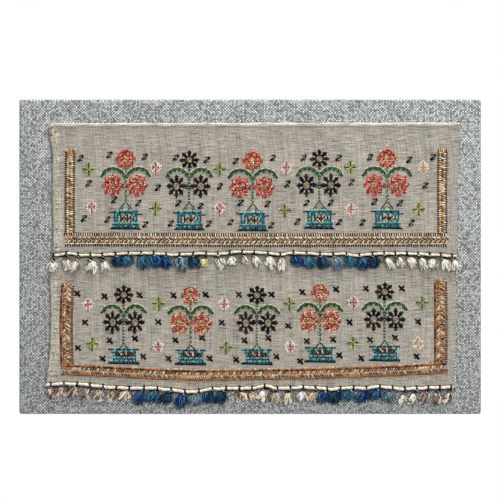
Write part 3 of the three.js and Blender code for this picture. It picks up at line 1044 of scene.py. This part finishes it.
def sewPlants(band):
    flowers, leaves, vessels = Bundle(), Bundle(), Bundle()
    kind = pots[band["name"]]
    for middleX, topY, colour in kind["rows"]:

        def place(right, down):
            return atPixel(middleX + right, topY + down)

        coral = colour == "coral"
        tone = "coralLow" if coral and band is lower else colour
        for side, out in ((-1, kind["sideLeft"]), (1, kind["sideRight"])):
            shade = "pale" if band is upper and not coral else "green"
            reach = plant["paleReach"] if shade == "pale" else 1
            route = [place(side * x * reach, y) for x, y in kind["leaf"]]
            rows = [(*row, plant["leafWidth"]) for row in plant["leafRows"][shade]]
            for offset, names, width in (*rows, (*plant["paleRow"], plant["paleWidth"])):
                sewLine(leaves, band, route, names, plant["leafStep"], width, side * offset * pixel)
            sewFlower(flowers, band, plant["side"], place(side * out, kind["sideDown"]), tone)
        head = "coralTop" if coral and band is upper else tone
        sewFlower(flowers, band, plant["top"], place(0, plant["top"]["down"]), head)
        if coral and band is upper:
            ends = [place(0, down) for down in plant["tip"]["down"]]
            sewLine(flowers, band, ends, *plant["tip"]["row"])
        if band is upper and not coral:
            collar = plant["collar"]
            middle = place(0, collar["down"])
            sewChart(flowers, band, collar["chart"], palettes["collar"], middle, *collar["cell"])
        for offset, names in kind["stem"] if coral else plant["darkStem"]:
            stem = [place(offset, plant["stemFrom"]), place(offset, kind["stemTo"])]
            sewLine(leaves, band, stem, names, plant["leafStep"], plant["stemWidth"])
        joint = plant["joint"]
        for down in joint["rows"]:
            ends = [place(side * joint["half"], down) for side in (-1, 1)]
            names = ("darkRed", "rose") if coral else ("black", "violet")
            sewLine(flowers, band, ends, names, joint["step"], joint["width"])
        sewSpread(leaves, band, place, kind)
        sewChart(vessels, band, kind["chart"], palettes["pot"], place(0, kind["potMiddle"]),
                 kind["cellWide"] * pixel, kind["cellHigh"] * pixel)
        foot = plant["foot"]
        ends = [place(side * kind["footHalf"], kind["footDown"] + tilt)
                for side, tilt in zip((-1, 1), foot["tilt"])]
        sewLine(vessels, band, ends, *foot["row"])
        if kind["handles"]:
            handle = plant["handle"]
            for side, down in zip((-1, 1), handle["down"]):
                start, end = side * kind["handles"], side * (kind["handles"] + handle["long"])
                ends = [place(start, down), place(end, down - handle["up"])]
                sewLine(vessels, band, ends, *handle["row"])
    name = band["name"]
    return (flowers.piece(name + "_flowers", silk, "embroidery_thread"),
            leaves.piece(name + "_leaves", silk, "embroidery_thread"),
            vessels.piece(name + "_pots", silk, "embroidery_thread"))


# The black flowers: each petal's fan of rays, the threads across it, as a share of the way out
# and half their length in pixels, and the pale thread beside it. The threads across leave the
# petals' edges ragged.

blackFlower = {
    "petals": 8, "stray": 3, "fan": 9, "rayFrom": .28, "rayTo": .97, "shorter": .2, "rayWidth": 1.4,
    "cross": ((.36, 2.5), (.52, 1.9), (.7, 3.4), (.83, 2.5), (.95, 1.2)), "lengths": (.75, 1.15),
    "slip": .3, "crossWidth": 1.5, "crossRise": .1, "pale": (.5, .78), "paleWidth": 1.1,
    "middleWide": 1.25, "middleHigh": 1.2, "middleRise": .3,
}


def sewFlower(bundle, band, plan, centre, colour):
    palette = palettes[colour]
    if colour != "black":
        chart, wide, high = plan[band["name"]]
        sewChart(bundle, band, chart, palette, centre, wide * pixel, high * pixel, 0, (0,))
        return
    look = blackFlower

    def around(degrees, share, sideways=0):
        turn = math.radians(degrees)
        ahead = (math.sin(turn), math.cos(turn))
        return [centre[axis] + (ahead[axis] * plan["reach"][axis] * share
                                + ahead[1 - axis] * (1, -1)[axis] * sideways) * pixel for axis in (0, 1)]

    for petal in range(look["petals"]):
        heading = petal * 360 / look["petals"] + stray(look["stray"])
        beside = heading + 180 / look["petals"]
        ends = [around(beside, share) for share in look["pale"]]
        stitch(bundle, band, *ends, "palest", look["paleWidth"])
        for ray in (-1, 0, 1):
            shares = (look["rayFrom"], look["rayTo"] - look["shorter"] * abs(ray))
            ends = [around(heading + ray * look["fan"], share) for share in shares]
            stitch(bundle, band, *ends, chance.choice(palette["k"]), look["rayWidth"])
        for share, reach in look["cross"]:
            reach *= chance.uniform(*look["lengths"])
            slip = stray(look["slip"])
            ends = [around(heading, share, side * reach + slip) for side in (-1, 1)]
            stitch(bundle, band, *ends, chance.choice(palette["k"]), look["crossWidth"], look["crossRise"])
    sewChart(bundle, band, blackMiddleChart, palette, centre, look["middleWide"] * pixel,
             look["middleHigh"] * pixel, look["middleRise"])


def sewSpread(bundle, band, place, kind):
    # the slanted threads that spread from the stem to the pot's rim
    look = plant["spread"]
    top = kind["stemTo"] - look["above"]
    rows = ((look["outerRow"], 0), (look["innerRow"], look["inner"]))
    for side in (-1, 1):
        for row, inner in rows:
            start = place(side * look["from"], top + inner)
            sewLine(bundle, band, [start, place(side * (look["reach"] - inner), top + look["down"])], *row)


# Sprigs and small dark marks between the pots, as places in the photograph's pixels

sprigs = {
    "upper": {
        "greenSprig": ((89, 169), (219.7, 169), (350.3, 167), (155.6, 208), (284.8, 210), (418.3, 209)),
        "pinkSprig": ((155.9, 167), (286.1, 167.5), (92, 206.5), (219.7, 208), (350.8, 209)),
        "creamSprig": ((422.9, 167),),
    },
    "lower": {
        "pinkSprig": ((88.4, 304), (224.2, 303.5), (353.1, 302), (158.4, 346), (290.2, 346)),
        "greenSprig": ((158.9, 303), (289.3, 303), (421.6, 302), (92.4, 343), (226, 346.5), (352.8, 342)),
        "creamSprig": ((417.4, 343),),
    },
}
marks = {
    "upper": (
        (80.8, 158), (109.5, 154.6), (144.6, 156.7), (175.8, 157.4), (206.8, 159.6), (235.5, 160.8),
        (272.7, 157.6), (303.4, 157.4), (338.3, 157.6), (369.7, 157), (408.8, 159.3), (432.4, 157),
        (88.7, 182.8), (157.9, 187.5), (219.7, 186), (287.3, 183.6), (351.1, 182), (424.6, 185),
        (114.4, 199.4), (138.5, 202.7), (178.3, 202.7), (200.7, 205.7), (240.5, 202.4),
        (267.4, 203.5), (306.3, 202.7), (330.4, 202.2), (374, 201.4), (399.2, 202.7), (84.2, 218),
        (107.8, 219), (145.4, 224), (170.8, 223), (208.6, 223.4), (230.5, 221.8), (271, 224.8),
        (297.2, 221.3), (338.7, 221.8), (361.9, 222), (411.1, 222.3),
    ),
    "lower": (
        (77.6, 292.7), (105, 295.6), (139.6, 294.2), (173.6, 294.9), (205.6, 293.9), (238.8, 293.9),
        (271.5, 293.9), (302.2, 291.4), (335.7, 288.6), (365.5, 287.8), (401.4, 287.6),
        (85.4, 321.6), (158.4, 321.3), (221.7, 322), (288.1, 325), (349.1, 321.3), (417.4, 320.8),
        (110, 339.5), (135.2, 337.8), (175.5, 339.2), (202, 337), (244.3, 339.5), (268.2, 337),
        (306.7, 340.3), (332.9, 338.7), (369.7, 339), (394.6, 337), (78.4, 347), (102.8, 357.7),
        (143.4, 355.6), (168.8, 357.7), (209.8, 357.7), (236.3, 358.9), (276.2, 355.6), (300, 360.2),
        (339, 354.4), (361, 357.2), (416.3, 355.6),
    ),
}
# a mark's threads, each from and to a place beside its middle and a width in millimetres
markThreads = {
    "upper": (((-1.8, -2), (.9, -2.7), 1.4), ((.5, -2.7), (3.5, -2.7), 1.7),
              ((3.5, -2.6), (.7, 0), 2), ((1.2, -.4), (-3.3, 2.6), 2.1),
              ((-3.3, 2.6), (0, 2.5), 1.9), ((-.3, 2.5), (2.5, 1.7), 1.4)),
    "lower": (((-3, -2.9), (.3, .1), 2.4), ((-.2, -.3), (3.3, 3.3), 3),
              ((2.7, -2.8), (.1, .1), 2.4), ((.2, -.1), (-2.7, 2.5), 2.3)),
}
# short stitches over the upper strip's left edge: x, from and to y, pitch in pixels, threads
edgeStitches = {
    "upper": ((51.6, 128, 142, 2.4, ("brickRed", "brown", "palest")),
              (56.6, 232, 253, 2.4, ("brown", "plumBrown", "palest"))),
    "lower": (),
}
edgeReach = (1.2, .7)
sprigCell = 1.38
strayMark = .3


def sewScatter(band):
    scattered = Bundle()
    dark = Bundle()
    name = band["name"]
    for kind, places in sprigs[name].items():
        for x, y in places:
            size = sprigCell * pixel
            chart = sprigCharts["greenSprig" if kind == "greenSprig" else "pinkSprig"]
            sewChart(scattered, band, chart, palettes[kind], atPixel(x, y), size, size)
    for x, y in marks[name]:
        for start, end, width in markThreads[name]:
            ends = [atPixel(x + right + stray(strayMark), y + down + stray(strayMark))
                    for right, down in (start, end)]
            stitch(dark, band, *ends, chance.choice(("black", "black", "soot")), width, .1)
    for x, low, high, pitch, names in edgeStitches[name]:
        for y in np.arange(low, high, pitch):
            ends = [atPixel(x + side * edgeReach[0], y - side * edgeReach[1]) for side in (-1, 1)]
            stitch(dark, band, *ends, chance.choice(names), 1)
    return (scattered.piece(name + "_sprigs", silk, "embroidery_thread"),
            dark.piece(name + "_marks", silk, "embroidery_thread"))


# The borders: rows of stitches beside a line. Each row is its kind, its lowest and highest place
# in pixels to the line's left or outside, its pitch in pixels, its threads, their width, and how
# far they lie on top of the rows before.

borders = {
    "upper": {
        "bottom": ((65.2, 239.4), (110, 239.3), (180, 239.6), (250, 240), (330, 239.8), (446.5, 239.6)),
        "left": ((70.6, 151), (70.2, 190), (70.3, 234)),
        "right": ((442, 150.5), (441.6, 190), (441.8, 234)),
        "bottomRows": (
            ("bars", 3.2, 6.6, 2.3, ("sand", "tan", "cream"), 2, 0),
            ("slants", -3.2, -.2, 2.3, ("sand", "tan", "tan"), 1.9, 0),
            ("backSlants", .2, 3.4, 2.3, ("tan", "sand", "sand"), 1.9, 0),
            ("slants", -3.2, .2, 4.6, ("brown", "plumBrown", "brown"), 1.8, .3),
            ("backSlants", -.2, 3.2, 4.6, ("brown", "plumBrown", "greyTeal"), 1.8, .3),
            ("slants", .2, 2.8, 4.6, ("plumBrown", "rust"), 1.3, .35),
            ("bars", -6.2, -3, 2.3, ("sand", "tan", "cream"), 2, 0),
            ("bars", 4, 7.4, 2.3, ("brown", "black", "brown"), 1.75, .35),
            ("bars", -6.8, -3.6, 2.3, ("brown", "black", "brown"), 1.75, .35),
        ),
        "sideRows": (
            ("bars", -4.2, -.2, 2.2, ("sand", "sand", "tan"), 2.1, 0),
            ("bars", .2, 4.2, 2.2, ("sand", "sand", "tan"), 2.1, 0),
            ("slants", -1.9, 1.7, 2.2, ("rust", "tan", "amber"), 1.4, .3),
            ("backSlants", -2.4, 2.2, 2.2, ("brown", "sand", "tan"), 1.3, .4),
            ("bars", 2.4, 5.4, 2.2, ("brown", "black", "rustDark"), 1.3, .35),
            ("bars", -5.4, -2.4, 2.2, ("brown", "black", "rustDark"), 1.3, .35),
        ),
    },
    "lower": {
        "bottom": ((61.5, 369), (100, 370.6), (150, 373.2), (200, 374.8), (250, 374), (300, 373.4),
                   (350, 371.8), (400, 370), (446.5, 367.2)),
        "left": ((67.8, 284.5), (66.6, 305), (66.2, 330), (67, 364)),
        "right": ((439.4, 280.5), (439.8, 320), (439.6, 362)),
        "bottomRows": (
            ("bars", 5, 6.8, 2.3, ("sand", "tan", "tan"), 1.6, 0),
            ("slants", -.2, 3.6, 2.2, ("cream", "amber", "tan"), 1.8, 0),
            ("backSlants", -3.8, .2, 2.2, ("amber", "sand", "tan"), 1.8, 0),
            ("slants", .2, 3.4, 2.2, ("brown", "sand", "rust"), 1.3, .3),
            ("backSlants", -3.6, -.2, 2.2, ("rustDark", "amber", "brown"), 1.3, .3),
            ("line", 4.2, 0, 2.6, ("umber", "rust", "rustDark"), 2.5, .3),
            ("line", -4.4, 0, 3, ("umber", "rust", "umber"), 1.7, .3),
        ),
        "sideRows": (
            ("bars", -6.6, -2.2, 2.2, ("amber", "rust", "tan"), 1.9, 0),
            ("slants", .2, 3.8, 2.2, ("amber", "rust", "umber"), 1.8, 0),
            ("backSlants", -3, .4, 2.2, ("amber", "tan", "umber"), 1.8, 0),
            ("slants", .4, 3.4, 4.4, ("brown", "sand", "umber"), 1.3, .3),
            ("backSlants", -4.6, .2, 4.4, ("umber", "sand", "brown", "cream"), 1.3, .3),
            ("bars", 1, 2.6, 3.1, ("cream", "brown", "sand"), 1.2, .35),
            ("bars", -2.6, -.8, 2.7, ("rustDark", "cream", "amber"), 1.2, .35),
            ("line", 5, 0, 2.6, ("umber", "rust", "rustDark"), 2.6, .3),
            ("bars", -7.6, -4.4, 2.2, ("rustDark", "brown"), 1.2, .35),
        ),
    },
}

# the loose threads that fan out at the top of each side bar, in pixels
barEnds = {
    "threads": 11, "apart": .85, "stray": .2, "below": 1.5, "splay": 1.25, "above": (.5, 3.4),
    "dyes": ("amber", "brown", "sand", "rust"),
}


def sewBorderSide(bundle, band, places, rows, flip=1):
    shift = 0
    for kind, low, high, pitch, names, width, rise in rows:
        along = curveThrough([atPixel(*place) for place in places], pitch * pixel)
        shift = (shift + .5) % 1
        for number in range(len(along) - 1):
            a, b = along[number], along[number + 1]
            ahead = b - a
            left = np.array((-ahead[1], ahead[0])) / np.linalg.norm(ahead) * pixel * flip
            at = a + ahead * (shift + stray(.1))
            if kind == "line":
                start, end = a + left * low - ahead * .15, b + left * low + ahead * .15
            elif kind == "bars":
                start, end = at + left * low, at + left * high
            elif kind == "slants":
                start, end = at + left * low, at + left * high + ahead * .9
            else:
                start, end = at + left * low + ahead * .9, at + left * high
            stitch(bundle, band, start, end, chance.choice(names), width, rise)


def sewBorder(band):
    bundle = Bundle()
    plan = borders[band["name"]]
    for side in ("left", "right"):
        sewBorderSide(bundle, band, plan[side], plan["sideRows"], -1)
    sewBorderSide(bundle, band, plan["bottom"], plan["bottomRows"])
    for x, y in (plan["left"][0], plan["right"][0]):
        for number in range(barEnds["threads"]):
            out = (number - barEnds["threads"] // 2) * barEnds["apart"]
            out += stray(barEnds["stray"])
            ends = [atPixel(x + out, y + barEnds["below"]),
                    atPixel(x + out * barEnds["splay"], y - chance.uniform(*barEnds["above"]))]
            stitch(bundle, band, *ends, barEnds["dyes"][number % 4], 1, .3)
    return (bundle.piece(band["name"] + "_border", silk, "embroidery_thread"),)


upperWork = sewPlants(upper) + sewScatter(upper) + sewBorder(upper)
lowerWork = sewPlants(lower) + sewScatter(lower) + sewBorder(lower)
print("embroidery sewn")


# The edge cords and their tassels

strands = {"number": 3, "radius": .92, "offset": .6, "turn": 7.2, "step": .9, "sides": 6}
cordShadowThread = {"radius": .85, "below": 2, "wander": .9}
# a tuft's fade is how much its outer threads are darkened and its middle ones paled: painted shade and
# highlight
tuftLook = {
    "plain": {"headWidth": 4.6, "headHeight": 2.2, "threads": 7, "radius": .68, "depth": 3.2,
              "curl": 2.6, "loops": .5, "sides": 5, "curls": 22, "spread": 1.35, "rise": 2.2,
              "fade": .6, "longer": 0},
    "fluffy": {"headHeight": 2.6, "threads": 105, "radius": .33, "depth": 4.4, "curl": 3,
               "sides": 3, "curls": 0, "spread": 1.75, "rise": 2.6, "fade": .75, "longer": 4.5},
}
tuftShape = {
    "ahead": 2, "headLean": .4, "uneven": .12, "startHalf": 1.5, "fanShorter": .5, "lengths": (.6, 1.05),
    "beginWide": .3, "beginUp": .6, "wider": 1.25, "radii": (.8, 1.1), "tip": .6,
}
# In cream, oat and rose the darkest colours are painted shade between a tassel's threads.
yarnDyes = {
    "cream": ((254, 252, 244), (250, 246, 234), (222, 212, 194), (254, 250, 242), (150, 136, 114)),
    "straw": ((214, 206, 142), (196, 190, 118), (226, 220, 168)),
    "rose": ((230, 210, 196), (180, 154, 140), (236, 224, 212), (80, 62, 54), (132, 106, 94)),
    "oat": ((240, 228, 202), (208, 190, 158), (228, 214, 186), (112, 90, 68), (176, 152, 126)),
    "navy": ((20, 46, 70), (34, 72, 104), (12, 28, 46), (66, 112, 146)),
    "azure": ((20, 60, 112), (36, 88, 142), (10, 32, 66), (96, 142, 182)),
    "teal": ((38, 96, 128), (62, 128, 158), (20, 54, 80), (108, 168, 190)),
    "haze": ((84, 122, 142), (122, 156, 172), (50, 80, 100), (172, 194, 202)),
    "cord": ((228, 220, 200), (206, 197, 176), (238, 232, 214)),
    "dark": ((20, 15, 14), (40, 27, 22), (12, 10, 14)),
    "pale": ((222, 216, 204), (188, 182, 172)),
}
yarnShades = (.74, 1.18)
fluffyDyes = ("navy", "azure", "teal", "haze")


def yarnDye(name, shade=1):
    shade *= chance.uniform(*yarnShades)
    return tuple(min(c * shade, thread["brightest"]) for c in linear(chance.choice(yarnDyes[name])))


def cordCentre(band, x):
    belly = max(smoothBetween(band["edge"], x, 2), 0)
    swell = cord["radius"] * (2 * band["cordSwell"] - 1)
    y = frontFace - band["backStand"] - swell - cord["clearance"] - belly
    return np.array((x, y, smoothBetween(band["edge"], x, 1)))


def edgeCord(band):
    bundle = Bundle()
    swell = band["cordSwell"]
    first, last = band["edge"][0][0], band["edge"][-1][0]
    steps = int((last - first) / strands["step"])
    for number in range(strands["number"]):
        points = []
        for n in range(steps + 1):
            centre = cordCentre(band, first + (last - first) * n / steps)
            angle = 2 * math.pi * (n * strands["step"] / strands["turn"] + number / strands["number"])
            off = strands["offset"] * swell * (1 + .3 * math.sin(n * .37 + number))
            points.append(centre + np.array((0, math.cos(angle) * off, math.sin(angle) * off)))
        radii = [strands["radius"] * swell * (1 + .3 * math.sin(n * .53 + 2 * number))
                 for n in range(steps + 1)]
        bundle.thread(points, radii, strands["sides"], linear(yarnDyes["cord"][number]))
    # a dark thread along the underside of the cord: a painted shadow of the cord, partly the tassels' dark
    # thread carried along
    points = []
    for n in range(steps // 3 + 1):
        centre = cordCentre(band, first + (last - first) * n / (steps // 3))
        wander = cordShadowThread["wander"] * math.sin(n * 1.1) * math.sin(n * .37)
        points.append(centre + np.array((0, .2, -cordShadowThread["below"] + wander)))
    bundle.thread(points, [cordShadowThread["radius"]] * len(points), 5, linear(yarnDyes["dark"][0]))
    made = bundle.piece(band["name"] + "_edge_cord", yarn, "fringe_yarn")
    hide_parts(band["name"] + "_fringe")
    return made


def hangingThread(look, begin, tip, fan, width, front):
    # a thick thread from the head to its tip, with a bend of its own
    points = []
    depth = chance.uniform(0, 1) * look["depth"]
    drift = stray(1) * look["curl"]
    for n in range(7):
        t = n / 6
        x = begin[0] + (tip[0] - begin[0]) * t + fan * width * t ** .75 + drift * math.sin(3 * t) * t
        z = begin[1] + (tip[1] - begin[1]) * t + .4 * drift * math.sin(5 * t)
        y = front - look["radius"] - depth * (.35 + .65 * math.sin(math.pi * (.2 + .6 * t)))
        points.append((x, y, z))
    return points


def fluffThread(look, head, width, length, lean, front):
    # a fine thread that leaves the head, bows out and curls over within a round tuft; its painted
    # shade makes it darker near the tuft's rim and paler, a painted highlight, near its middle
    turn = chance.uniform(-math.pi, 0)
    away = math.sqrt(chance.random())
    aim = (head[0] + lean * .6 + math.cos(turn) * away * width * .5 * look["spread"],
           head[1] - length * .5 + math.sin(turn) * away * length * .5)
    depth = look["depth"] * math.sqrt(max(1 - away * away, 0)) * chance.uniform(.4, 1)
    curl = stray(1) * look["curl"]
    points = []
    for n in range(7):
        t = n / 6
        bow = math.sin(math.pi * t)
        x = head[0] + (aim[0] - head[0]) * t ** .8 + curl * bow * .7 + curl * .5 * math.sin(5 * t)
        z = head[1] + (aim[1] - head[1]) * t + abs(curl) * .5 * math.sin(6 * t) * t
        y = front - look["radius"] - depth * math.sin(math.pi * (.12 + .6 * t))
        points.append((x, y, z))
    # painted shade and highlight: darker towards the tuft's rim, paler towards its middle
    return points, 1 + look["fade"] * (.47 - away)


def tufts(band):
    # the tassels of each run, each with its tuft and its winding
    bundle, wraps = Bundle(), Bundle()
    shape = tuftShape
    front = frontFace - band["backStand"] - cord["clearance"]
    number = 0
    for tints, first, pitch, stemLength, length, width, leans in band["tassels"]:
        tints = tints.split()
        for i, lean in enumerate(leans):
            tint = tints[i % len(tints)]
            look = tuftLook["fluffy" if tint in fluffyDyes else "plain"]
            number += 1
            root = cordCentre(band, first + i * pitch)
            headZ = root[2] - cord["radius"] - stemLength
            head = np.array((root[0] + shape["headLean"] * lean, front - shape["ahead"], headZ))
            stretch = 1 + shape["uneven"] * math.sin(number * number)
            for k in range(look["threads"] + look["curls"]):
                shade = 1
                if tint in fluffyDyes or k >= look["threads"]:
                    start = (head[0] + stray(shape["startHalf"]), headZ + look["rise"])
                    full = length * stretch + look["longer"]
                    points, shade = fluffThread(look, start, width, full, lean, front)
                else:
                    fan = stray(.5)
                    reach = length * stretch * (1 - shape["fanShorter"] * abs(fan))
                    reach *= chance.uniform(*shape["lengths"])
                    begin = (head[0] + fan * look["headWidth"] * shape["beginWide"],
                             headZ + look["headHeight"] * shape["beginUp"])
                    tip = (root[0] + lean, headZ - reach)
                    points = hangingThread(look, begin, tip, fan, width * shape["wider"], front)
                    if chance.random() < look["loops"]:
                        points = loopBack(points, look["radius"])
                radii = [look["radius"] * chance.uniform(*shape["radii"]) for _ in points]
                radii[-1] *= shape["tip"]
                bundle.thread(points, radii, look["sides"], yarnDye(tint, shade))
            wrapTassel(wraps, band, root, head, look)
    name = band["name"]
    return (bundle.piece(name + "_tufts", yarn, "fringe_yarn"),
            wraps.piece(name + "_thread_wraps", yarn, "fringe_yarn"))


def loopBack(points, radius):
    # the thread's end is turned back up beside itself
    side = chance.choice((-1, 1)) * radius * 2.6
    turned = [(x + side, y - radius * .4, z) for x, y, z in reversed(points[4:])]
    bottom = points[-1]
    return points + [(bottom[0] + side / 2, bottom[1], bottom[2] - radius)] + turned


# the thread wound over the cord, the stitch that holds it to the cloth, and the four strands
# that go down to the tuft
wound = {"turns": 2.6, "above": .65, "tilt": .8, "long": 2.2, "radius": .66, "steps": 32, "from": 1.5}
hold = {
    "up": 4, "ahead": .3, "heights": (2.6, 4.4), "over": ((.2, -1.9, 1.1), (.1, -2.2, -.6)),
    "radii": (.35, .6, .6),
}
stem = {
    "start": (0, -.9, -.8), "dyes": ("dark", "dark", "pale", "dark"), "steps": 14, "turns": 1.5,
    "reach": 1.05, "swell": .45, "radius": .58,
}


def wrapTassel(bundle, band, root, head, look):
    radius = cord["radius"] * band["cordSwell"] + wound["above"]
    tilt = stray(wound["tilt"])
    points = []
    for n in range(wound["steps"] + 1):
        angle = 2 * math.pi * wound["turns"] * n / wound["steps"] + wound["from"]
        along = wound["long"] * n / wound["steps"] - wound["long"] / 2
        points.append((root[0] + along + tilt * math.sin(angle),
                       root[1] - math.cos(angle) * radius, root[2] + math.sin(angle) * radius))
    bundle.thread(points, [wound["radius"]] * len(points), 5, yarnDye("dark"))
    y = frontAt(band, root[0], root[2] + hold["up"]) - hold["ahead"]
    top = np.array((root[0], y, root[2] + chance.uniform(*hold["heights"])))
    over = [top, *(root + np.array(place) for place in hold["over"])]
    bundle.thread(over, hold["radii"], 5, yarnDye("dark"))
    foot = np.array((head[0], head[1], head[2] + look["headHeight"] * .5))
    start = root + np.array(stem["start"])
    for strand, tint in enumerate(stem["dyes"]):
        points = []
        phase = chance.uniform(0, 1)
        for n in range(stem["steps"] + 1):
            t = n / stem["steps"]
            angle = 2 * math.pi * (stem["turns"] * t + strand / len(stem["dyes"]) + .2 * phase)
            reach = stem["reach"] * (1 + stem["swell"] * math.sin(5 * t + 6 * phase))
            centre = start + (foot - start) * t
            points.append(centre + np.array((math.cos(angle) * reach, math.sin(angle) * reach, 0)))
        bundle.thread(points, [stem["radius"]] * len(points), 5, yarnDye(tint))


upperFringe = (edgeCord(upper), *tufts(upper))
lowerFringe = (edgeCord(lower), *tufts(lower))
print("tassels tied")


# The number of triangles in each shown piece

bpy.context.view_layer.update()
triangles = {
    piece.name: sum(len(face.vertices) - 2 for face in piece.data.polygons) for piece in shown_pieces()
}
print("triangles", sum(triangles.values()), max(triangles.items(), key=lambda item: item[1]))
